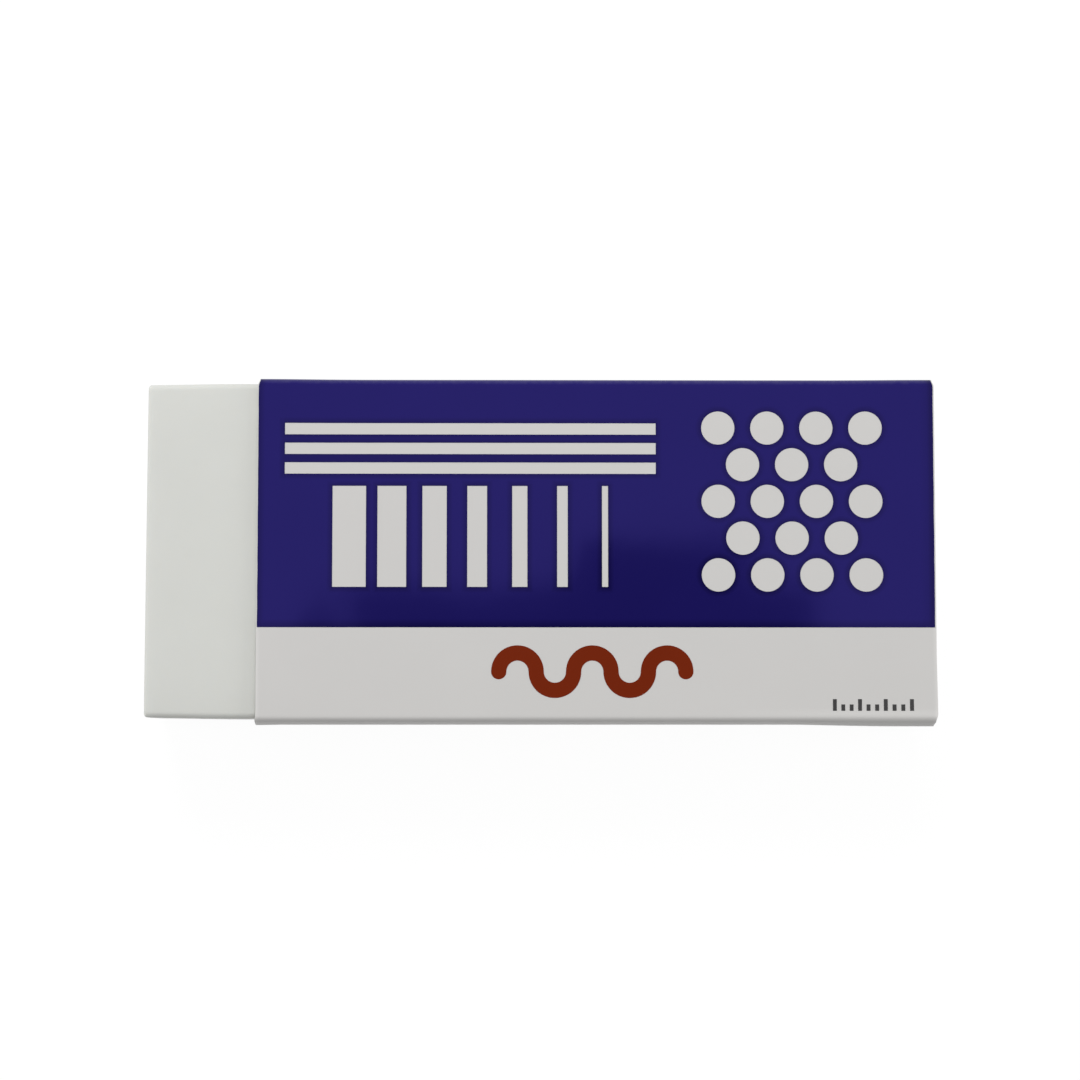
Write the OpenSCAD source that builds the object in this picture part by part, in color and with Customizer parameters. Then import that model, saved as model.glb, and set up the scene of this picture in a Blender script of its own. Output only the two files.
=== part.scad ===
// Block eraser in a folded card sleeve, lying on its broad face.
// Millimetres. +X runs to the sleeved end, +Y across the face to the printed edge, +Z up.
// The origin is the middle of the whole eraser's underside.

/* [Eraser block] */
// Length of the block
block_l = 103.1; // [60:0.1:140]
// Width of the block
block_w = 44.2; // [24:0.1:70]
// Thickness of the block
block_h = 19; // [9:0.1:32]
// Rounding along the four long edges
block_edge_r = 0.7; // [0.3:0.05:2.5]
// Rounding around the two ends
block_end_r = 0.45; // [0.2:0.05:2]

/* [Card sleeve] */
// Length of the sleeve
sleeve_l = 89; // [66:0.1:130]
// Thickness of the card
card_t = 0.35; // [0.2:0.05:0.8]
// Radius on the inside of each fold
fold_r = 0.4; // [0.1:0.05:0.9]
// Gap between the block and the card on each side
slide_gap = 0.1; // [0.04:0.01:0.6]
// How far the sleeve reaches past the block's covered end
mouth_depth = 0.5; // [0:0.1:8]
// Bare strip between the glue flap's edge and the top panel
flap_short = 1.5; // [0.6:0.1:8]
// Height of the outer side panel's cut edge above the underside
cut_edge_z = 0.8; // [0.4:0.1:6]

/* [Printed fields] */
// Depth of the printed layer, which lies flush in the card
ink_t = 0.05; // [0.02:0.01:0.15]
// Width of the white band along the front's lower edge
front_band_w = 12.7; // [9.5:0.1:17]
// Width of the white band along the back's lower edge
back_band_w = 12.7; // [2:0.1:40]

/* [White discs] */
// Diameter of a disc
disc_d = 4.4; // [1:0.1:6.4]
// Distance between discs in a row
disc_pitch_x = 6.47; // [4.5:0.01:9]
// Distance between rows
disc_pitch_y = 4.85; // [4.5:0.01:6]
// Discs in a long row
disc_cols = 4; // [2:1:5]
// Distance from the discs to the sleeve's far end
disc_margin_x = 6.8; // [2:0.1:14]
// Distance from the discs to the sleeve's upper edge
disc_margin_top = 4.2; // [1.5:0.1:8]
// Least distance from the discs to the white band
disc_margin_low = 4; // [0.5:0.1:8]

/* [White rules and bars] */
// Distance from the rules to the sleeve's near end
rule_margin_x = 3.6; // [1.5:0.1:14]
// Distance from the first rule to the sleeve's upper edge
rule_margin_y = 5.8; // [1.5:0.1:9]
// Space between the rules and the discs
art_gap = 6; // [2:0.1:14]
// Height of a rule
rule_h = 1.5; // [0.4:0.1:2.4]
// Distance between rules
rule_pitch = 2.6; // [2.5:0.1:3.2]
// Number of rules
rule_count = 3; // [1:1:3]
// Space between the rules and the bars
bar_gap = 1.6; // [0.6:0.1:4]
// Distance from the bars to the white band
bar_margin_low = 5.3; // [0.8:0.1:9]
// How far the row of bars is at least set in from the rules at each end
bar_inset = 6.2; // [0:0.1:10]
// Distance between bars
bar_pitch = 5.9; // [5.4:0.1:9]
// Width of the first bar
bar_first_w = 4.4; // [1:0.1:4.8]
// Width of the last bar
bar_last_w = 0.8; // [0.4:0.1:4]

/* [Red wave] */
// Radius along the middle of each half turn
wave_r = 2.45; // [1.4:0.05:2.7]
// Width of the line
wave_w = 2; // [0.5:0.1:2.4]
// Number of half turns
wave_turns = 5; // [1:1:9]
// Distance from the band's upper edge to the middle of the wave
wave_y = 5.8; // [4:0.1:7]
// Shift of the wave from the sleeve's middle towards the far end
wave_x = -0.5; // [-20:0.1:20]

/* [Small ticks] */
// Width of a tick
tick_w = 0.5; // [0.2:0.1:0.9]
// Height of a long tick
tick_long = 1.8; // [0.8:0.1:2.4]
// Height of a short tick
tick_short = 1; // [0.4:0.1:1.8]
// Distance between ticks
tick_pitch = 1.1; // [1:0.1:1.6]
// Number of ticks
tick_count = 10; // [1:1:12]
// Distance from the ticks to the sleeve's far end
tick_margin_x = 3.1; // [1.5:0.1:10]
// Distance from the ticks to the sleeve's lower edge
tick_margin_y = 1.5; // [1.2:0.1:4]

/* [Hidden] */
$fn = 48;

// Cuts run this far past the faces that they open
over = 0.3;

// Outer radius of a fold
crease_r = fold_r + card_t;

// The sleeve's outside. The lower side is two cards thick, because the flap is glued behind it.
sleeve_w = block_w + 2 * slide_gap + 3 * card_t;
sleeve_h = block_h + 2 * slide_gap + 2 * card_t;
upper_y = sleeve_w / 2;
lower_y = -sleeve_w / 2;
flap_y = lower_y + card_t;

// Places along the length
whole_l = block_l + mouth_depth;
near_x = -whole_l / 2;
sleeve_x1 = whole_l / 2;
sleeve_x0 = sleeve_x1 - sleeve_l;

// Middle of the block's section, in the sleeve's hollow
block_y = upper_y - card_t - slide_gap - block_w / 2;
block_z = card_t + slide_gap + block_h / 2;

// Edges of the blue field on the front and on the back
front_line_y = lower_y + front_band_w;
back_line_y = lower_y + back_band_w;

// Discs: the upper left one, and as many rows as the blue field holds
discs_w = (disc_cols - 1) * disc_pitch_x + disc_d;
disc_x0 = sleeve_x1 - disc_margin_x - discs_w + disc_d / 2;
disc_top_y = upper_y - disc_margin_top - disc_d / 2;
disc_low_y = front_line_y + disc_margin_low + disc_d / 2;
disc_rows = 1 + floor((disc_top_y - disc_low_y) / disc_pitch_y);

// Rules, and below their middle as many bars as their length holds
rule_x0 = sleeve_x0 + rule_margin_x;
rule_l = sleeve_x1 - disc_margin_x - discs_w - art_gap - rule_x0;
rule_top_y = upper_y - rule_margin_y;
rules_h = (rule_count - 1) * rule_pitch + rule_h;
bar_top_y = rule_top_y - rules_h - bar_gap;
bar_low_y = front_line_y + bar_margin_low;
bar_gaps = floor((rule_l - 2 * bar_inset - bar_last_w) / bar_pitch);
bar_x0 = rule_x0 + (rule_l - bar_gaps * bar_pitch - bar_last_w) / 2;

// Wave and ticks
sleeve_mid_x = (sleeve_x0 + sleeve_x1) / 2;
wave_x0 = sleeve_mid_x + wave_x - wave_turns * wave_r;
wave_mid_y = front_line_y - wave_y;
tick_x0 = sleeve_x1 - tick_margin_x - (tick_count - 1) * tick_pitch - tick_w;
tick_y0 = lower_y + tick_margin_y;

// Rectangle with rounded corners, about the origin
module rounded_rect(w, h, r) {
    square([w - 2 * r, h], center = true);
    square([w, h - 2 * r], center = true);
    for (x = [-1, 1], y = [-1, 1])
        translate([x * (w / 2 - r), y * (h / 2 - r)])
            circle(r = r);
}

// Rectangle between two corners
module span(x0, x1, y0, y1) {
    translate([x0, y0])
        square([x1 - x0, y1 - y0]);
}

// Draws a section, whose first axis is Y and second is Z, along X from x0 to x1
module along_x(x0, x1) {
    translate([x0, 0, 0])
        rotate([90, 0, 90])
            linear_extrude(x1 - x0)
                children();
}

// A layer of a fold: a quarter ring about the point y, z that opens to the side sy, sz.
// d0 and d1 are its depths below the card's outer face.
module fold(y, z, sy, sz, d0, d1) {
    reach = crease_r - d0;
    translate([y, z])
        intersection() {
            difference() {
                circle(r = reach);
                circle(r = crease_r - d1);
            }
            translate([sy < 0 ? -reach : 0, sz < 0 ? -reach : 0])
                square(reach);
        }
}

// The folded sheet's section, in the order of its panels, as a layer from depth d0 to depth d1
module top_panel(from_y, d0, d1) {
    span(from_y, upper_y - crease_r, sleeve_h - d1, sleeve_h - d0);
}

module upper_side(d0, d1) {
    fold(upper_y - crease_r, sleeve_h - crease_r, 1, 1, d0, d1);
    span(upper_y - d1, upper_y - d0, crease_r, sleeve_h - crease_r);
    fold(upper_y - crease_r, crease_r, 1, -1, d0, d1);
}

module back_panel(from_y, d0, d1) {
    span(from_y, upper_y - crease_r, d0, d1);
}

module glue_flap() {
    fold(flap_y + crease_r, crease_r, -1, -1, 0, card_t);
    span(flap_y, flap_y + card_t, crease_r, sleeve_h - card_t - flap_short);
}

module lower_side() {
    fold(lower_y + crease_r, sleeve_h - crease_r, -1, 1, 0, card_t);
    span(lower_y, lower_y + card_t, cut_edge_z, sleeve_h - crease_r);
}

module sheet_section() {
    lower_side();
    top_panel(lower_y + crease_r, 0, card_t);
    upper_side(0, card_t);
    back_panel(flap_y + crease_r, 0, card_t);
    glue_flap();
}

module blue_section(d0) {
    top_panel(front_line_y, d0, ink_t);
    upper_side(d0, ink_t);
    back_panel(back_line_y, d0, ink_t);
}

// Flat shapes of the print, seen from above
module disc_lattice() {
    for (row = [0 : disc_rows - 1]) {
        offset_row = row % 2;
        for (col = [0 : disc_cols - 1 - offset_row])
            translate([
                disc_x0 + (col + offset_row / 2) * disc_pitch_x,
                disc_top_y - row * disc_pitch_y
            ])
                circle(d = disc_d);
    }
}

module rules() {
    for (i = [0 : rule_count - 1])
        translate([rule_x0, rule_top_y - rule_h - i * rule_pitch])
            square([rule_l, rule_h]);
}

module bars() {
    for (i = [0 : bar_gaps]) {
        w = bar_first_w + (bar_last_w - bar_first_w) * i / bar_gaps;
        translate([bar_x0 + i * bar_pitch, bar_low_y])
            square([w, bar_top_y - bar_low_y]);
    }
}

// A line of half rings that turn up and down by turns, with round ends
module wave() {
    outer_r = wave_r + wave_w / 2;
    for (i = [0 : wave_turns - 1])
        translate([wave_x0 + (2 * i + 1) * wave_r, wave_mid_y])
            intersection() {
                difference() {
                    circle(r = outer_r);
                    circle(r = wave_r - wave_w / 2);
                }
                translate([-outer_r, i % 2 == 0 ? 0 : -outer_r])
                    square([2 * outer_r, outer_r]);
            }
    for (x = [wave_x0, wave_x0 + 2 * wave_turns * wave_r])
        translate([x, wave_mid_y])
            circle(d = wave_w);
}

module ticks() {
    for (i = [0 : tick_count - 1])
        translate([tick_x0 + i * tick_pitch, tick_y0])
            square([tick_w, i % 3 == 0 ? tick_long : tick_short]);
}

// A flat shape as a layer in the front's surface. It stands up past the surface by rise.
module on_front(rise) {
    translate([0, 0, sleeve_h - ink_t])
        linear_extrude(ink_t + rise)
            children();
}

module blue_field(rise) {
    difference() {
        along_x(sleeve_x0 - rise, sleeve_x1 + rise)
            blue_section(-rise);
        translate([0, 0, -over])
            on_front(over + 2 * over) {
                disc_lattice();
                rules();
                bars();
            }
    }
}

module eraser_block() {
    color([0.86, 0.86, 0.84])
        translate([near_x + block_l / 2, block_y, block_z])
            intersection() {
                along_x(-block_l / 2, block_l / 2)
                    rounded_rect(block_w, block_h, block_edge_r);
                translate([0, 0, -block_h])
                    linear_extrude(2 * block_h)
                        rounded_rect(block_l, block_w, block_end_r);
                translate([0, block_w, 0])
                    rotate([90, 0, 0])
                        linear_extrude(2 * block_w)
                            rounded_rect(block_l, block_h, block_end_r);
            }
}

module card_sleeve() {
    color([0.8, 0.8, 0.78])
        difference() {
            along_x(sleeve_x0, sleeve_x1)
                sheet_section();
            blue_field(over);
            on_front(over)
                wave();
            on_front(over)
                ticks();
        }
}

module blue_print() {
    color([0.16, 0.14, 0.41])
        blue_field(0);
}

module red_print() {
    color([0.51, 0.14, 0.04])
        on_front(0)
            wave();
}

module black_print() {
    color([0.13, 0.12, 0.13])
        on_front(0)
            ticks();
}

eraser_block();
card_sleeve();
blue_print();
red_print();
black_print();
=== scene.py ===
"""The looks of a block eraser in its card sleeve: vinyl, folded card, print, light and camera.

Sizes are in millimetres, and each mesh is brought to the frame's metres as it is made.
"""

import math
from collections import namedtuple

import bmesh
import bpy
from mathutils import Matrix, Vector, kdtree, noise
from mathutils.geometry import delaunay_2d_cdt


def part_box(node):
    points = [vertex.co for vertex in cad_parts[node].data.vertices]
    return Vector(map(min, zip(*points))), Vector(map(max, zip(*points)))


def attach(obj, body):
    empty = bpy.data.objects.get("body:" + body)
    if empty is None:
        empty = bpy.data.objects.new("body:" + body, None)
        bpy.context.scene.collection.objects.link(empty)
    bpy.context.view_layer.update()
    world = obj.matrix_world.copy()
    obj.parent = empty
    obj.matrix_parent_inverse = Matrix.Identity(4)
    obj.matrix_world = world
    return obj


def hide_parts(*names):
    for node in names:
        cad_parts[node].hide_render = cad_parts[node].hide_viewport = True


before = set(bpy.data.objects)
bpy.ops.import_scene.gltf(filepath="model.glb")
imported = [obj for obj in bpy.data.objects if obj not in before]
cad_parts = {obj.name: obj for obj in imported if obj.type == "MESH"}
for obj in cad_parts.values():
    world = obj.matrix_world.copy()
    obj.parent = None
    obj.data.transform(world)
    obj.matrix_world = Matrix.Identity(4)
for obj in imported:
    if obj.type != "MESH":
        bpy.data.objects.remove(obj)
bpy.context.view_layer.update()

MM = 0.001


def node_box(name):
    """Lowest and highest corner of a CAD node, in millimetres."""
    return [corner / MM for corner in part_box(name)]


SLEEVE_LOW, SLEEVE_HIGH = node_box("card_sleeve")
BLOCK_LOW, BLOCK_HIGH = node_box("eraser_block")
SLEEVE_L = SLEEVE_HIGH.x - SLEEVE_LOW.x
SLEEVE_W = SLEEVE_HIGH.y - SLEEVE_LOW.y
SLEEVE_H = SLEEVE_HIGH.z

# Card: its thickness, the outer radius of its creases, and where its two cut edges along X stop
CARD_T = 0.35
CREASE_R = 0.75
CUT_EDGE_Z = 0.8
FLAP_SHORT = 1.5
FLAP_Y = SLEEVE_LOW.y + CARD_T

# Ink: its thickness, and how far it sinks into the card so that no faces coincide
INK_T = 0.02
INK_ROOT = 0.01

# Blue field: the bare edges that the die leaves along the near and the far mouth, how far their outline
# wanders, over what length, and in what steps it is drawn, and the width of the white band below it
FRINGE = 0.1
FAR_FRINGE = 0.17
FRINGE_WANDER = 0.03
FRINGE_WANDER_SIZE = 2.5
FRINGE_STEP = 0.5
BAND_W = 12.7

# Width of the dark rim that the press squeezes out along the blue's edges, how finely the edges are
# sampled to find it, and where the painted shade along the far mouth, which darkens the blue there, sets
# in and is full
RIM_W = 0.8
RIM_SAMPLE = 0.1
FAR_MOUTH_SHADE = (1.25, 0.5)

# White discs in staggered rows
DISC_D = 4.4
DISC_PITCH_X = 6.47
DISC_PITCH_Y = 4.85
DISC_COLS = 4
DISC_ROWS = 5
DISC_MARGIN_X = 6.8
DISC_MARGIN_TOP = 4.2
DISCS_W = (DISC_COLS - 1) * DISC_PITCH_X + DISC_D

# White rules, and the bars of falling width below them
RULE_MARGIN_X = 3.6
RULE_MARGIN_Y = 5.8
RULE_H = 1.5
RULE_PITCH = 2.6
RULE_COUNT = 3
ART_GAP = 6
BAR_GAP = 1.6
BAR_MARGIN_LOW = 5.3
BAR_PITCH = 5.9
BAR_FIRST_W = 4.4
BAR_LAST_W = 0.8
BAR_COUNT = 7

# Red wave of half rings
WAVE_R = 2.45
WAVE_W = 2
WAVE_TURNS = 5
WAVE_Y = 5.8
WAVE_SHIFT = -0.5

# Small dark ticks, every third one long
TICK_W = 0.5
TICK_LONG = 1.8
TICK_SHORT = 1
TICK_PITCH = 1.1
TICK_COUNT = 10
TICK_MARGIN_X = 3.1
TICK_MARGIN_Y = 1.5

# Mesh steps across the broad panels, the sides and a fold, the closer mesh lines in from a mouth and
# from a broad panel's folds, and the arc steps of a round motif. Points of the print that are closer than
# the cut's tolerance become one, and a place within the section's tolerance of a stretch is on it.
BROAD_STEP = 1.5
MOUTH_RIMS = (0.1, 0.25, 0.5, 1, 2)
FOLD_RIMS = (0.3, 0.7, 1.2)
SIDE_STEP = 0.8
FOLD_STEPS = 8
ROUND_STEPS = 48
CUT_TOLERANCE = 1e-5
SECTION_TOLERANCE = 1e-6

# How the card has settled: the front rises and waves, and lifts off the block at its near mouth, most
# of all on the lower side. The upper side bellies out and flares at its mouths. The lower side gapes at
# its mouths, tucks in below and leans in at its top crease, which stands up in a ridge by the far mouth.
# A belly is widest below the top, and the nearer to it the greater its power.
FRONT_RISE = 0.1
FRONT_WAVES = 0.04
FRONT_WAVE_SIZE = 17
MOUTH_LIFT = 0.09
LOWER_LIFT = 0.15
BELLY_POWER = 4.5
UPPER_BELLY = 0.1
UPPER_FLARE = 0.08
FAR_GAPE = 0.25
NEAR_GAPE = 0.08
LOWER_TUCK = 0.03
CREASE_LEAN = 0.35
CREASE_RIDGE = 0.11

# The ends were cut a little out of true: the far one long, and more so towards the lower side, and the
# near one long on the lower side. All corners of the front but the lower near one are knocked in.
FAR_OVER = 0.17
FAR_SKEW = 0.13
NEAR_OVER = 0.15
KNOCK = 0.22

# Where each of these sets in and where it is full, in from a mouth
LIFT_FROM_MOUTH = (11, 0)
FLARE_FROM_MOUTH = (15, 0)
FAR_GAPE_FROM_MOUTH = (22, 5)
RIDGE_FROM_MOUTH = (30, 8)
NEAR_GAPE_FROM_MOUTH = (6, 0)
CUT_FROM_MOUTH = (10, 0)

# The same, in from a side
LIFT_FROM_SIDE = (20, 3)
SIDE_FROM_SIDE = (7.7, 1.7)
LEAN_FROM_SIDE = (3.7, 0.7)
RIDGE_FROM_SIDE = (1.6, 0.7)
SKEW_FROM_SIDE = (10.7, 0.7)
CORNER_FROM_SIDE = (1, 0.1)

# The same, down from the top
RISE_FROM_TOP = (4, 0.6)
TUCK_FROM_TOP = (3, 12)
LEAN_FROM_TOP = (2.4, 0.2)
SKEW_FROM_TOP = (1.5, 0.1)
KNOCK_FROM_TOP = (4.4, 1.4)

# How far the wear and painted highlight of a crease, and the burr and painted highlight of a cut mouth,
# reach, where they have faded to a third
CREASE_WEAR_AND_HIGHLIGHT = 0.4
BURR_AND_HIGHLIGHT = 0.35

# Block: its edge roundings, its mesh step and the closer mesh lines in from its faces, and how near to
# the plane of an end a corner counts as on it
BLOCK_EDGE_R = 0.7
BLOCK_END_R = 0.45
ROUNDING_STEPS = 6
BLOCK_STEP = 2
BLOCK_RIMS = (0.85, 1.15, 1.6)
END_TOLERANCE = 1e-4

# How the block's moulded form strays from a true box: it lies a little to one side and narrows and skews
# towards its near end, its faces fall off in shoulders towards their edges, and its skin ripples
BLOCK_ASIDE = -0.05
END_NARROWING = 0.15
END_NARROWING_L = 12
END_SKEW = 0.18
END_OVER = 0.045
END_BENT_L = 20
FACE_SHOULDER = 0.22
SIDE_SHOULDER = 0.04
SHOULDER_W = 4.5
SHOULDER_DEPTH = 1
END_SHOULDER = 0.3
END_SHOULDER_W = 1.6
RIPPLE = 0.02
RIPPLE_SIZE = 14

# Seed of the noise in the block's ripple and in the blue field's ends, so that each run gives the same
NOISE_SEED = 7

# Edges that turn by more than this many degrees stay sharp
SHARP_TURN = 35

# Linear colours
WHITE_CARD = (0.612, 0.602, 0.589)
RAW_BOARD = (0.56, 0.545, 0.51)
BLUE = (0.0102, 0.0074, 0.094)
RED = (0.176, 0.0205, 0.0055)
BLACK = (0.022, 0.021, 0.022)
VINYL = (0.654, 0.661, 0.629)
# The grey of ink rubbed along the creases, which is partly a painted highlight
RUBBED_AND_HIGHLIGHT = (0.5, 0.49, 0.5)

# Tints of the varnish's gloss over each ink
BLUE_GLOSS = (0.25, 0.2, 1, 1)
RED_GLOSS = (1, 0.9, 0.85, 1)
BLACK_GLOSS = (1, 1, 1, 1)

# Surface relief, as the patch size and the depth of each layer: the varnished card's slow waves and fine
# skin, the fibres and hollows of raw board, and the skin and handling marks of vinyl
VARNISH_RELIEF = ((9, 0.009), (0.5, 0.0006))
RAW_BOARD_RELIEF = ((0.3, 0.02), (1.5, 0.02))
VINYL_RELIEF = ((0.25, 0.0025), (2.5, 0.008))

# Light: the sky's level, and the soft lamps as (place, size, watts)
SKY_LEVEL = 0.5
NORTH_LAMP = ((-70, 400, 380), 300, 1.68)
WEST_LAMP = ((-600, 60, 130), 260, 1.2)
EAST_LAMP = ((600, 60, 160), 260, 1.3)

# Floor: how far it reaches, its height, what it gives back to the object, and what it gives back and
# glows with where it is seen
FLOOR_REACH = 4000
FLOOR_Z = -0.01
FLOOR_ALBEDO = 0.35
FLOOR_SEEN_ALBEDO = 0.08
FLOOR_GLOW = 0.945

# Dark board that the print's gloss mirrors: its corners, and its rise above the camera
DARK_BOARD_CORNERS = ((-47, -60), (75, -60), (75, 13), (60, 13), (58, 29), (14, 29), (8, 13), (-47, 13))
DARK_BOARD_RISE = 10

# The photograph's viewpoint
CAMERA_AT = (-3.5, -24.2, 367.3)
CAMERA_TURN = (4.223, -0.569, 0)
CAMERA_LENS = 88.4
CAMERA_SENSOR = 36


def smooth(low, high, value):
    """0 below low, 1 above high, and an even S-curve between."""
    share = min(max((value - low) / (high - low), 0), 1)
    return share * share * (3 - 2 * share)


def spaced(start, end, step):
    """Even places from start to end, about a step apart, with both ends."""
    count = max(1, round((end - start) / step))
    return [start + (end - start) * i / count for i in range(count + 1)]


def spaced_with_rims(start, end, step, rims):
    """The same, with closer places at the given distances in from both ends."""
    middle = spaced(start + rims[-1], end - rims[-1], step)
    near = [start] + [start + rim for rim in rims[:-1]]
    far = [end - rim for rim in rims[-2::-1]] + [end]
    return near + middle + far


# The folded sheet

Stretch = namedtuple("Stretch", "kind start length y z heading")


def walk_section():
    """The sheet's outer face in section, as straight and curved stretches in the order of its panels.

    It starts at the lower side's cut edge, climbs, crosses the front and goes round to the glued flap.
    """
    panels = [
        ("side", SLEEVE_H - CREASE_R - CUT_EDGE_Z),
        ("broad", SLEEVE_W - 2 * CREASE_R),
        ("side", SLEEVE_H - 2 * CREASE_R),
        ("broad", SLEEVE_HIGH.y - FLAP_Y - 2 * CREASE_R),
        ("side", SLEEVE_H - CARD_T - FLAP_SHORT - CREASE_R),
    ]
    stretches = []
    start, y, z, heading = 0, SLEEVE_LOW.y, CUT_EDGE_Z, math.pi / 2
    for kind, length in panels:
        if stretches:
            stretches.append(Stretch("fold", start, CREASE_R * math.pi / 2, y, z, heading))
            start += CREASE_R * math.pi / 2
            y += CREASE_R * (math.cos(heading) + math.sin(heading))
            z += CREASE_R * (math.sin(heading) - math.cos(heading))
            heading -= math.pi / 2
        stretches.append(Stretch(kind, start, length, y, z, heading))
        start += length
        y += length * math.cos(heading)
        z += length * math.sin(heading)
    return stretches


SECTION = walk_section()
FRONT, BACK = [part for part in SECTION if part.kind == "broad"]

# Where the blue meets the white band, on the front and on the underside
FRONT_LINE = FRONT.start + BAND_W - CREASE_R
BACK_LINE = BACK.start + BACK.y - (SLEEVE_LOW.y + BAND_W)


def on_section(s, depth):
    """(y, z) at s along the section and depth below the outer face, before the card settled."""
    stretch = [part for part in SECTION if part.start <= s + SECTION_TOLERANCE][-1]
    along = s - stretch.start
    y, z, heading = stretch.y, stretch.z, stretch.heading
    if stretch.kind == "fold":
        centre_y = y + CREASE_R * math.sin(heading)
        centre_z = z - CREASE_R * math.cos(heading)
        out = heading + math.pi / 2 - along / CREASE_R
        reach = CREASE_R - depth
        return centre_y + reach * math.cos(out), centre_z + reach * math.sin(out)
    y += along * math.cos(heading) + depth * math.sin(heading)
    z += along * math.sin(heading) - depth * math.cos(heading)
    return y, z


def sprung_across(y, z, from_near, from_far):
    """How far a point of the card has moved across the sleeve."""
    from_side = SLEEVE_W / 2 - abs(y)
    from_top = SLEEVE_H - z
    belly = math.sin(math.pi * min(max(z / SLEEVE_H, 0), 1) ** BELLY_POWER)
    by_side = smooth(*SIDE_FROM_SIDE, from_side)
    if y > 0:
        flare = UPPER_FLARE * smooth(*FLARE_FROM_MOUTH, min(from_near, from_far))
        return by_side * (UPPER_BELLY * belly + flare)
    gape = FAR_GAPE * smooth(*FAR_GAPE_FROM_MOUTH, from_far)
    gape += NEAR_GAPE * smooth(*NEAR_GAPE_FROM_MOUTH, from_near)
    tuck = LOWER_TUCK * smooth(*TUCK_FROM_TOP, from_top)
    lean = CREASE_LEAN * smooth(*LEAN_FROM_SIDE, from_side) * smooth(*LEAN_FROM_TOP, from_top)
    return lean + by_side * (tuck - gape * belly)


def cut_along(y, z, from_near, from_far):
    """How far a point of the card lies off its true place along the sleeve."""
    from_side = SLEEVE_W / 2 - abs(y)
    from_top = SLEEVE_H - z
    by_corner = smooth(*CORNER_FROM_SIDE, from_side)
    knock = KNOCK * by_corner * smooth(*KNOCK_FROM_TOP, from_top)
    near, far = -knock, FAR_OVER - knock
    if y < 0:
        near = NEAR_OVER * by_corner
        far += FAR_SKEW * smooth(*SKEW_FROM_SIDE, from_side) * smooth(*SKEW_FROM_TOP, from_top)
    return far * smooth(*CUT_FROM_MOUTH, from_far) - near * smooth(*CUT_FROM_MOUTH, from_near)


def settled(x, y, z):
    """Where a point of the card lies once the sheet has sprung out of true."""
    from_near = x - SLEEVE_LOW.x
    from_far = SLEEVE_HIGH.x - x
    waves = FRONT_WAVES * noise.noise(Vector((x, y, 0)) / FRONT_WAVE_SIZE)
    rise = FRONT_RISE * math.cos(math.pi * y / SLEEVE_W) + waves
    from_lower = SLEEVE_W / 2 + y
    lift = MOUTH_LIFT + LOWER_LIFT * smooth(*LIFT_FROM_SIDE, from_lower)
    rise += lift * smooth(*LIFT_FROM_MOUTH, from_near)
    rise += CREASE_RIDGE * smooth(*RIDGE_FROM_SIDE, from_lower) * smooth(*RIDGE_FROM_MOUTH, from_far)
    return Vector((
        x + cut_along(y, z, from_near, from_far),
        y + sprung_across(y, z, from_near, from_far),
        z + rise * smooth(*RISE_FROM_TOP, SLEEVE_H - z),
    )) * MM


def on_sheet(u, s, depth):
    """The place in the frame, in metres, of a point of the unfolded sheet."""
    return settled(SLEEVE_LOW.x + u, *on_section(s, depth))


def creasing(u, s):
    """1 in the middle of a fold, fading away beside it."""
    middles = [part.start + part.length / 2 for part in SECTION if part.kind == "fold"]
    return max(math.exp(-(((s - middle) / CREASE_WEAR_AND_HIGHLIGHT) ** 2)) for middle in middles)


def cutting(u, s):
    """1 at the cut mouths, fading away within a millimetre or so."""
    return math.exp(-min(u, SLEEVE_L - u) / BURR_AND_HIGHLIGHT)


# The print, as outlines on the unfolded sheet


def on_front(x, y):
    """The unfolded sheet's (u, s) of a point of the front."""
    return x - SLEEVE_LOW.x, FRONT.start + y - FRONT.y


def rectangle(x, y, width, height):
    """Outline of a rectangle on the front, from its lower near corner."""
    corners = [(x, y), (x + width, y), (x + width, y + height), (x, y + height)]
    return [on_front(*corner) for corner in corners]


def blue_field():
    """Outline of the blue, which wraps over the upper side. The die leaves its two ends uneven."""
    near, far = [], []
    for s in spaced(FRONT_LINE, BACK_LINE, FRINGE_STEP):
        wander = noise.noise_vector(Vector((s / FRINGE_WANDER_SIZE, 0, 0))) * FRINGE_WANDER
        near.append((FRINGE + wander.x, s))
        far.append((SLEEVE_L - FAR_FRINGE + wander.y, s))
    return far + near[::-1]


def discs():
    """Outlines of the white discs, row by row from the top."""
    first_x = SLEEVE_HIGH.x - DISC_MARGIN_X - DISCS_W + DISC_D / 2
    first_y = SLEEVE_HIGH.y - DISC_MARGIN_TOP - DISC_D / 2
    outlines = []
    for row in range(DISC_ROWS):
        short = row % 2
        for col in range(DISC_COLS - short):
            centre_x = first_x + (col + short / 2) * DISC_PITCH_X
            centre_y = first_y - row * DISC_PITCH_Y
            turns = [2 * math.pi * i / ROUND_STEPS for i in range(ROUND_STEPS)]
            outlines.append([
                on_front(centre_x + DISC_D / 2 * math.cos(turn), centre_y + DISC_D / 2 * math.sin(turn))
                for turn in turns
            ])
    return outlines


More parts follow.
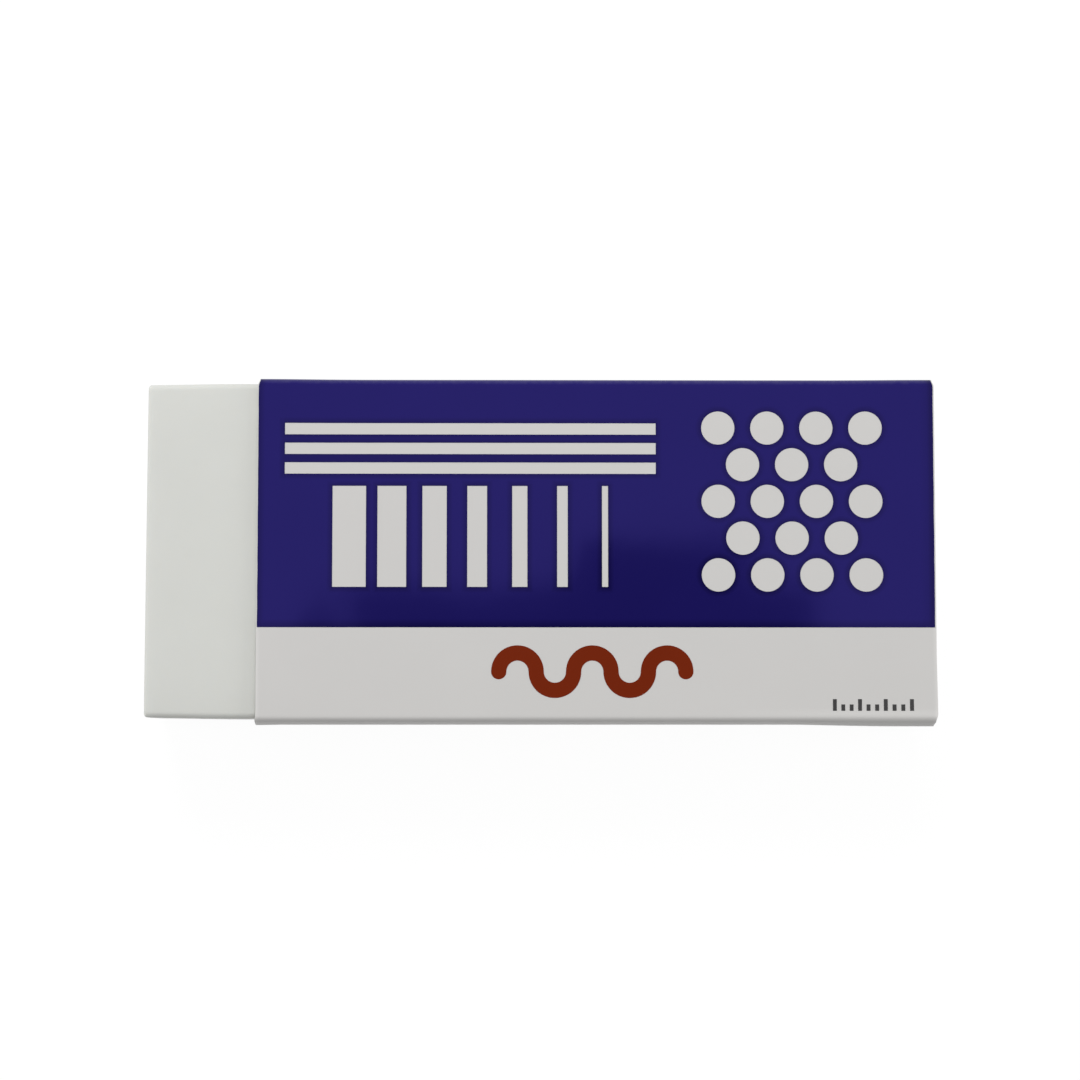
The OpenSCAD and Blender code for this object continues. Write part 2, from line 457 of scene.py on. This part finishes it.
def rules_and_bars():
    """Outlines of the white rules and of the bars below them."""
    rule_x = SLEEVE_LOW.x + RULE_MARGIN_X
    rule_l = SLEEVE_HIGH.x - DISC_MARGIN_X - DISCS_W - ART_GAP - rule_x
    rule_top = SLEEVE_HIGH.y - RULE_MARGIN_Y
    outlines = []
    for i in range(RULE_COUNT):
        outlines.append(rectangle(rule_x, rule_top - RULE_H - i * RULE_PITCH, rule_l, RULE_H))
    bar_x = rule_x + (rule_l - (BAR_COUNT - 1) * BAR_PITCH - BAR_LAST_W) / 2
    bar_top = rule_top - (RULE_COUNT - 1) * RULE_PITCH - RULE_H - BAR_GAP
    bar_low = SLEEVE_LOW.y + BAND_W + BAR_MARGIN_LOW
    for i in range(BAR_COUNT):
        width = BAR_FIRST_W + (BAR_LAST_W - BAR_FIRST_W) * i / (BAR_COUNT - 1)
        outlines.append(rectangle(bar_x + i * BAR_PITCH, bar_low, width, bar_top - bar_low))
    return outlines


def wave():
    """Outline of a line of half rings that turn up and down by turns, with round ends.

    Like every outline here it runs anticlockwise, which tells the cut what lies inside.
    """
    middle_x = (SLEEVE_LOW.x + SLEEVE_HIGH.x) / 2 + WAVE_SHIFT
    middle_y = SLEEVE_LOW.y + BAND_W - WAVE_Y
    first_x = middle_x - WAVE_TURNS * WAVE_R
    steps = ROUND_STEPS // 2
    left, right = [], []
    for turn in range(WAVE_TURNS):
        centre_x = first_x + (2 * turn + 1) * WAVE_R
        up = 1 if turn % 2 == 0 else -1
        last = turn == WAVE_TURNS - 1
        for step in range(steps + last):
            angle = math.pi * (1 - step / steps)
            for side, half in ((left, up * WAVE_W / 2), (right, -up * WAVE_W / 2)):
                reach = WAVE_R + half
                side.append((centre_x + reach * math.cos(angle), middle_y + up * reach * math.sin(angle)))
    caps = []
    for end_x in (first_x + 2 * WAVE_TURNS * WAVE_R, first_x):
        cap = []
        for i in range(1, steps):
            angle = -math.pi * i / steps
            cap.append((end_x + WAVE_W / 2 * math.cos(angle), middle_y + WAVE_W / 2 * math.sin(angle)))
        caps.append(cap)
    outline = left + caps[0] + right[::-1] + caps[1]
    return [on_front(x, y) for x, y in outline[::-1]]


def ticks():
    """Outlines of the small ticks."""
    first_x = SLEEVE_HIGH.x - TICK_MARGIN_X - (TICK_COUNT - 1) * TICK_PITCH - TICK_W
    low = SLEEVE_LOW.y + TICK_MARGIN_Y
    outlines = []
    for i in range(TICK_COUNT):
        height = TICK_LONG if i % 3 == 0 else TICK_SHORT
        outlines.append(rectangle(first_x + i * TICK_PITCH, low, TICK_W, height))
    return outlines


def beside(outline, distance):
    """An anticlockwise outline moved outwards, its corners square."""
    corners = [Vector(corner) for corner in outline]
    moved = []
    for before, here, after in zip(corners[-1:] + corners[:-1], corners, corners[1:] + corners[:1]):
        sides = [(here - before).normalized(), (after - here).normalized()]
        normals = [Vector((side.y, -side.x)) for side in sides]
        middle = (normals[0] + normals[1]).normalized()
        moved.append(tuple(here + middle * distance / middle.dot(normals[0])))
    return moved


def rimmed_and_shaded(outlines):
    """A function of (u, s): 1 on the outlines, as the ink's rim, and by the far mouth, as painted shade,
    and falling to 0 beside them.
    """
    samples = []
    for outline in outlines:
        for start, end in zip(outline, outline[1:] + outline[:1]):
            count = math.ceil(math.dist(start, end) / RIM_SAMPLE)
            samples += [Vector(start).lerp(Vector(end), i / count).to_3d() for i in range(count + 1)]
    tree = kdtree.KDTree(len(samples))
    for i, sample in enumerate(samples):
        tree.insert(sample, i)
    tree.balance()

    def rim(u, s):
        # Painted shade: the blue darkens within about a millimetre of the far mouth.
        far_mouth_shade = smooth(*FAR_MOUTH_SHADE, SLEEVE_L - u)
        return max(1 - tree.find((u, s, 0))[2] / RIM_W, far_mouth_shade)

    return rim


def cut_sheet():
    """Cuts the unfolded sheet along its mesh lines and the print's outlines.

    Returns the points as (u, s), the triangles of each colour, and the blue's rim with the painted shade
    at its far mouth as a function.
    """
    columns = spaced_with_rims(0, SLEEVE_L, BROAD_STEP, MOUTH_RIMS)
    rows = [0]
    for part in SECTION:
        end = part.start + part.length
        if part.kind == "broad":
            rows += spaced_with_rims(part.start, end, BROAD_STEP, FOLD_RIMS)[1:]
        else:
            step = SIDE_STEP if part.kind == "side" else part.length / FOLD_STEPS
            rows += spaced(part.start, end, step)[1:]
    points = [(u, s) for u in columns for s in rows]
    edges = []
    for i in range(len(columns)):
        for j in range(len(rows)):
            here = i * len(rows) + j
            if j + 1 < len(rows):
                edges.append((here, here + 1))
            if i + 1 < len(columns):
                edges.append((here, here + len(rows)))

    left_white = discs() + rules_and_bars()
    for outline in left_white:
        around = beside(outline, RIM_W)
        edges += [(len(points) + i, len(points) + (i + 1) % len(around)) for i in range(len(around))]
        points += around

    blue = blue_field()
    colours, outlines = ["blue"], [blue]
    for colour, shapes in (("white", left_white), ("red", [wave()]), ("black", ticks())):
        colours += [colour] * len(shapes)
        outlines += shapes
    faces = []
    for outline in outlines:
        faces.append(list(range(len(points), len(points) + len(outline))))
        points += outline

    places = [Vector(point) for point in points]
    whole_hull = 0
    with_sources = True
    cut = delaunay_2d_cdt(places, edges, faces, whole_hull, CUT_TOLERANCE, with_sources)
    cut_points, _, triangles, _, _, sources = cut
    by_colour = {"white": [], "blue": [], "red": [], "black": []}
    for triangle, source in zip(triangles, sources):
        colour = colours[max(source)] if source else "white"
        by_colour[colour].append(tuple(triangle))
    return [tuple(point) for point in cut_points], by_colour, rimmed_and_shaded([blue] + left_white)


def shell(name, points, triangles, outer, inner, materials, rim):
    """A closed layer of the sheet over the triangles, between two depths.

    The first material is on the outer face and the last one on the rest. The mesh carries how far each
    point is in a crease, at a cut mouth, and in the blue's rim or the painted shade by its far mouth, for
    the materials, which also paint a highlight along the creases and the cut mouths.
    """
    used = sorted({corner for triangle in triangles for corner in triangle})
    number = {corner: i for i, corner in enumerate(used)}
    count = len(used)
    places = [on_sheet(*points[corner], depth) for depth in (outer, inner) for corner in used]
    tops = [tuple(number[corner] for corner in triangle) for triangle in triangles]
    bottoms = [(a + count, c + count, b + count) for a, b, c in tops]
    sides = {(a, b) for top in tops for a, b in zip(top, top[1:] + top[:1])}
    border = sorted((a, b) for a, b in sides if (b, a) not in sides)
    walls = [(b, a, a + count, b + count) for a, b in border]
    mesh = bpy.data.meshes.new(name)
    mesh.from_pydata(places, [], tops + bottoms + walls)
    for attribute, value in (("crease", creasing), ("cut_edge", cutting), ("rim", rim)):
        layer = mesh.attributes.new(attribute, "FLOAT", "POINT")
        layer.data.foreach_set("value", [value(*points[corner]) for corner in used] * 2)
    for material in materials:
        mesh.materials.append(material)
    for polygon in mesh.polygons[len(tops):]:
        polygon.material_index = len(materials) - 1
    return placed(name, mesh)


def placed(name, mesh):
    """Puts a mesh in the scene, smooth but for its sharp edges."""
    mesh.shade_smooth()
    mesh.set_sharp_from_angle(angle=math.radians(SHARP_TURN))
    piece = bpy.data.objects.new(name, mesh)
    bpy.context.scene.collection.objects.link(piece)
    return piece


def sleeve():
    """The folded card and the three inks that lie in its face."""
    points, by_colour, rim = cut_sheet()
    everywhere = [triangle for triangles in by_colour.values() for triangle in triangles]
    card = shell("folded_card", points, everywhere, INK_T, CARD_T, [coated_card(), raw_board()], rim)
    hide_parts("card_sleeve")
    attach(card, "sleeve")
    inks = {
        "blue": printed("blue_ink", BLUE, BLUE_GLOSS, ior=1.54),
        "red": printed("red_ink", RED, RED_GLOSS, ior=1.5),
        "black": printed("black_ink", BLACK, BLACK_GLOSS, ior=1.5),
    }
    for colour, material in inks.items():
        covered = by_colour[colour]
        layer = shell(colour + "_layer", points, covered, 0, INK_T + INK_ROOT, [material], rim)
        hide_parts(colour + "_print")
        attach(layer, "sleeve")


# The block


def moulded(point):
    """Where a point of a true box lies on the moulded block."""
    middle = (BLOCK_LOW + BLOCK_HIGH) / 2
    half = (BLOCK_HIGH - BLOCK_LOW) / 2
    x, y, z = point - middle
    from_end = x + half.x
    side = y / half.y
    near_side = max(0, 1 - (half.y - abs(y)) / SHOULDER_W)
    near_face = max(0, 1 - (half.z - abs(z)) / SHOULDER_W)
    near_end = max(0, 1 - from_end / END_SHOULDER_W)
    droop = FACE_SHOULDER * near_side ** 2 + END_SHOULDER * near_end ** 2
    bulge = SIDE_SHOULDER * near_face ** 2
    z -= math.copysign(droop, z) * smooth(half.z - SHOULDER_DEPTH, half.z, abs(z))
    y -= math.copysign(bulge, y) * smooth(half.y - SHOULDER_DEPTH, half.y, abs(y))
    y += BLOCK_ASIDE - END_NARROWING * side * smooth(END_NARROWING_L, 0, from_end)
    x += (END_SKEW / 2 * side - END_OVER) * smooth(END_BENT_L, 0, from_end)
    ripple = noise.noise_vector(point / RIPPLE_SIZE) * RIPPLE
    inward = (ripple - Vector((RIPPLE, RIPPLE, RIPPLE))) / 2
    x += math.copysign(1, x) * inward.x
    y += math.copysign(1, y) * inward.y
    z += math.copysign(1, z) * inward.z
    return (middle + Vector((x, y, z))) * MM


def vinyl_block():
    """The block: a box cut into a fine mesh, rounded along its edges and then bent out of true."""
    form = bmesh.new()
    bmesh.ops.create_cube(form, size=1)
    size = BLOCK_HIGH - BLOCK_LOW
    for vert in form.verts:
        vert.co = BLOCK_LOW + Vector([size[i] * (vert.co[i] + 0.5) for i in range(3)])
    long_edges = [edge for edge in form.edges if edge.verts[0].co.x != edge.verts[1].co.x]
    round_edges(form, long_edges, BLOCK_EDGE_R)
    ends = (BLOCK_LOW.x, BLOCK_HIGH.x)
    end_edges = [
        edge for edge in form.edges
        if any(all(abs(vert.co.x - end) < END_TOLERANCE for vert in edge.verts) for end in ends)
    ]
    round_edges(form, end_edges, BLOCK_END_R)
    for axis in range(3):
        normal = Vector([float(i == axis) for i in range(3)])
        for place in spaced_with_rims(BLOCK_LOW[axis], BLOCK_HIGH[axis], BLOCK_STEP, BLOCK_RIMS)[1:-1]:
            everything = form.verts[:] + form.edges[:] + form.faces[:]
            bmesh.ops.bisect_plane(form, geom=everything, plane_co=normal * place, plane_no=normal)
    for vert in form.verts:
        vert.co = moulded(vert.co)
    mesh = bpy.data.meshes.new("vinyl_block")
    form.to_mesh(mesh)
    form.free()
    mesh.materials.append(vinyl())
    block = placed("vinyl_block", mesh)
    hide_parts("eraser_block")
    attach(block, "block")


def round_edges(form, edges, radius):
    """Rounds edges of the block's form by a radius. A profile of a half is a true arc."""
    bmesh.ops.bevel(form, geom=edges, offset=radius, segments=ROUNDING_STEPS, profile=0.5, affect="EDGES")


# Materials


def add(tree, kind, inputs=None, **settings):
    """Adds a shader node. An input that is another node's output is linked, and any other is set."""
    node = tree.nodes.new("ShaderNode" + kind)
    for name, value in settings.items():
        setattr(node, name, value)
    for name, value in (inputs or {}).items():
        if isinstance(value, bpy.types.NodeSocket):
            tree.links.new(value, node.inputs[name])
        else:
            node.inputs[name].default_value = value
    return node


def mottle(tree, size, detail=2):
    """Noise whose patches are about a size across, in octaves of finer detail."""
    where = add(tree, "TexCoord").outputs["Object"]
    inputs = {"Vector": where, "Scale": 1 / (size * MM), "Detail": detail}
    return add(tree, "TexNoise", inputs).outputs["Fac"]


def blend(tree, share, first, second):
    """A colour between two others. The Mix node's sockets for them go by number: its names repeat."""
    return add(tree, "Mix", {0: share, 6: first, 7: second}, data_type="RGBA").outputs[2]


def stepped(tree, value, low, high, top=1):
    """0 where the value is below low, and top where it is above high, with an even slope between."""
    inputs = {"Value": value, "From Min": low, "From Max": high, "To Max": top}
    return add(tree, "MapRange", inputs).outputs[0]


def product(tree, first, second):
    """One value times another."""
    return add(tree, "Math", {0: first, 1: second}, operation="MULTIPLY").outputs[0]


def relief(tree, layers):
    """Surface relief from several noises, each given as (patch size, depth)."""
    normal = None
    for size, depth in layers:
        inputs = {"Height": mottle(tree, size), "Distance": depth * MM, "Strength": 1}
        if normal:
            inputs["Normal"] = normal
        normal = add(tree, "Bump", inputs).outputs["Normal"]
    return normal


def opaque(colour, lift=1):
    """A linear colour with its alpha, made lighter or darker by a factor."""
    return tuple(channel * lift for channel in colour) + (1,)


def made_material(name, build):
    """A material whose build function fills a tree and returns the main shader's inputs."""
    material = bpy.data.materials.new(name)
    material.use_nodes = True
    tree = material.node_tree
    tree.nodes.clear()
    shader = add(tree, "BsdfPrincipled", build(tree))
    add(tree, "OutputMaterial", {"Surface": shader.outputs[0]})
    return material


def mesh_value(tree, attribute):
    """A value that the mesh carries at each of its points."""
    return add(tree, "Attribute", attribute_name=attribute).outputs["Fac"]


def printed(name, colour, gloss, ior):
    """Varnished ink: a slightly uneven layer, denser at its rim, darkened by painted shade at the far
    mouth, and rubbed along the creases, where the lighter rubbing is partly a painted highlight.
    """

    def build(tree):
        patches = mottle(tree, size=11, detail=3)
        even = blend(tree, patches, opaque(colour, lift=0.94), opaque(colour, lift=1.06))
        # Ink rubbed lighter along the creases: partly wear, partly a painted highlight
        rubbing_and_highlight = product(tree, mesh_value(tree, "crease"), mottle(tree, size=0.7, detail=4))
        worn_and_highlit = blend(tree, stepped(tree, rubbing_and_highlight, low=0.1, high=0.8, top=0.08), even, opaque(RUBBED_AND_HIGHLIGHT))
        # The ink's darker rim along its edges, together with the painted shade by the far mouth
        rim = stepped(tree, mesh_value(tree, "rim"), low=0, high=1, top=0.75)
        return {
            "Base Color": blend(tree, rim, worn_and_highlit, opaque(colour, lift=0.3)),
            "Roughness": 0.08,
            "IOR": ior,
            "Specular Tint": gloss,
            "Normal": relief(tree, VARNISH_RELIEF),
        }

    return made_material(name, build)


def coated_card():
    """The card's white varnished face, lighter where its cut edge is burred, which is partly a painted
    highlight along the cut mouths.
    """

    def build(tree):
        patches = mottle(tree, size=8, detail=3)
        face = blend(tree, patches, opaque(WHITE_CARD, lift=0.985), opaque(WHITE_CARD, lift=1.015))
        # The card is painted lighter along the cut mouths: partly the burr, partly a painted highlight.
        burr_and_highlight = stepped(tree, mesh_value(tree, "cut_edge"), low=0.2, high=0.9)
        return {
            "Base Color": blend(tree, burr_and_highlight, face, opaque(WHITE_CARD, lift=1.12)),
            "Roughness": 0.38,
            "Specular IOR Level": 0.1,
            "Normal": relief(tree, VARNISH_RELIEF),
        }

    return made_material("coated_card", build)


def raw_board():
    """The card's uncoated back and cut edges, with the fibres that they show."""

    def build(tree):
        fibres = mottle(tree, size=0.35, detail=5)
        return {
            "Base Color": blend(tree, fibres, opaque(RAW_BOARD, lift=0.88), opaque(RAW_BOARD, lift=1.08)),
            "Roughness": 0.85,
            "Normal": relief(tree, RAW_BOARD_RELIEF),
        }

    return made_material("raw_board", build)


def vinyl():
    """Soft white vinyl: satin, faintly clouded, with a fine skin and the marks of handling."""

    def build(tree):
        patches = mottle(tree, size=7, detail=4)
        clouds = blend(tree, patches, opaque(VINYL, lift=0.975), opaque(VINYL, lift=1.02))
        smudges = stepped(tree, mottle(tree, size=3.2, detail=5), low=0.6, high=0.8, top=0.1)
        return {
            "Base Color": blend(tree, smudges, clouds, opaque(VINYL, lift=0.85)),
            "Roughness": 0.5,
            "Subsurface Weight": 0.15,
            "Subsurface Radius": (1, 0.9, 0.75),
            "Subsurface Scale": 0.4 * MM,
            "Normal": relief(tree, VINYL_RELIEF),
        }

    return made_material("vinyl", build)


# The studio


def seen_directly(tree):
    """1 for rays from the camera, in gloss and through glass, and 0 for the light on the object."""
    path = add(tree, "LightPath").outputs
    seen = path["Is Camera Ray"]
    for ray in ("Is Glossy Ray", "Is Transmission Ray"):
        seen = add(tree, "Math", {0: seen, 1: path[ray]}, operation="MAXIMUM").outputs[0]
    return seen


def light_sky():
    """An even pale sky that is plain white where it is seen."""
    world = bpy.data.worlds.new("sky")
    bpy.context.scene.world = world
    world.use_nodes = True
    tree = world.node_tree
    tree.nodes.clear()
    glow = add(tree, "Background", {"Color": (1, 1, 1, 1), "Strength": SKY_LEVEL})
    white = add(tree, "Background", {"Color": (1, 1, 1, 1), "Strength": 1})
    both = add(tree, "MixShader", {0: seen_directly(tree), 1: glow.outputs[0], 2: white.outputs[0]})
    add(tree, "OutputWorld", {"Surface": both.outputs[0]})


def plane(name, corners, z):
    """A flat stage piece with the given corners, all at one height."""
    mesh = bpy.data.meshes.new(name)
    mesh.from_pydata([Vector((x, y, z)) * MM for x, y in corners], [], [list(range(len(corners)))])
    piece = bpy.data.objects.new(name, mesh)
    bpy.context.scene.collection.objects.link(piece)
    return piece


def lay_floor():
    """A white floor that glows where it is seen and keeps a faint shadow."""
    square = ((-1, -1), (1, -1), (1, 1), (-1, 1))
    floor = plane("floor", [(FLOOR_REACH * x, FLOOR_REACH * y) for x, y in square], FLOOR_Z)
    material = bpy.data.materials.new("floor")
    material.use_nodes = True
    tree = material.node_tree
    tree.nodes.clear()
    unseen = add(tree, "BsdfDiffuse", {"Color": opaque((FLOOR_ALBEDO,) * 3)})
    shaded = add(tree, "BsdfDiffuse", {"Color": opaque((FLOOR_SEEN_ALBEDO,) * 3)})
    glow = add(tree, "Emission", {"Strength": FLOOR_GLOW})
    seen = add(tree, "AddShader", {0: shaded.outputs[0], 1: glow.outputs[0]})
    both = add(tree, "MixShader", {0: seen_directly(tree), 1: unseen.outputs[0], 2: seen.outputs[0]})
    add(tree, "OutputMaterial", {"Surface": both.outputs[0]})
    floor.data.materials.append(material)


def hang_dark_board():
    """A dark board above the table, which only the gloss of the print shows, as a soft dark patch."""
    board = plane("dark_board", DARK_BOARD_CORNERS, CAMERA_AT[2] + DARK_BOARD_RISE)
    material = bpy.data.materials.new("dark_board")
    material.use_nodes = True
    tree = material.node_tree
    tree.nodes.clear()
    dark = add(tree, "Emission", {"Color": (0, 0, 0, 1), "Strength": 0})
    add(tree, "OutputMaterial", {"Surface": dark.outputs[0]})
    board.data.materials.append(material)
    board.visible_camera = False
    board.visible_diffuse = False
    board.visible_shadow = False
    board.visible_transmission = False


def hang_lamp(name, place, size, watts):
    """A soft square lamp that faces the object and doesn't show in its gloss."""
    lamp = bpy.data.lights.new(name, "AREA")
    lamp.shape = "SQUARE"
    lamp.size = size * MM
    lamp.energy = watts
    stand = bpy.data.objects.new(name, lamp)
    stand.location = Vector(place) * MM
    stand.rotation_euler = (-stand.location).to_track_quat("-Z", "Y").to_euler()
    stand.visible_camera = False
    stand.visible_glossy = False
    bpy.context.scene.collection.objects.link(stand)


def place_camera():
    """A long lens over the object's lower edge, turned a little to the north."""
    camera = bpy.data.cameras.new("camera")
    camera.lens = CAMERA_LENS
    camera.sensor_width = CAMERA_SENSOR
    stand = bpy.data.objects.new("camera", camera)
    stand.location = Vector(CAMERA_AT) * MM
    stand.rotation_euler = [math.radians(angle) for angle in CAMERA_TURN]
    bpy.context.scene.collection.objects.link(stand)
    bpy.context.scene.camera = stand


noise.seed_set(NOISE_SEED)
bpy.context.scene.view_settings.view_transform = "Standard"
place_camera()
vinyl_block()
sleeve()
light_sky()
hang_lamp("north_lamp", *NORTH_LAMP)
hang_lamp("west_lamp", *WEST_LAMP)
hang_lamp("east_lamp", *EAST_LAMP)
lay_floor()
hang_dark_board()
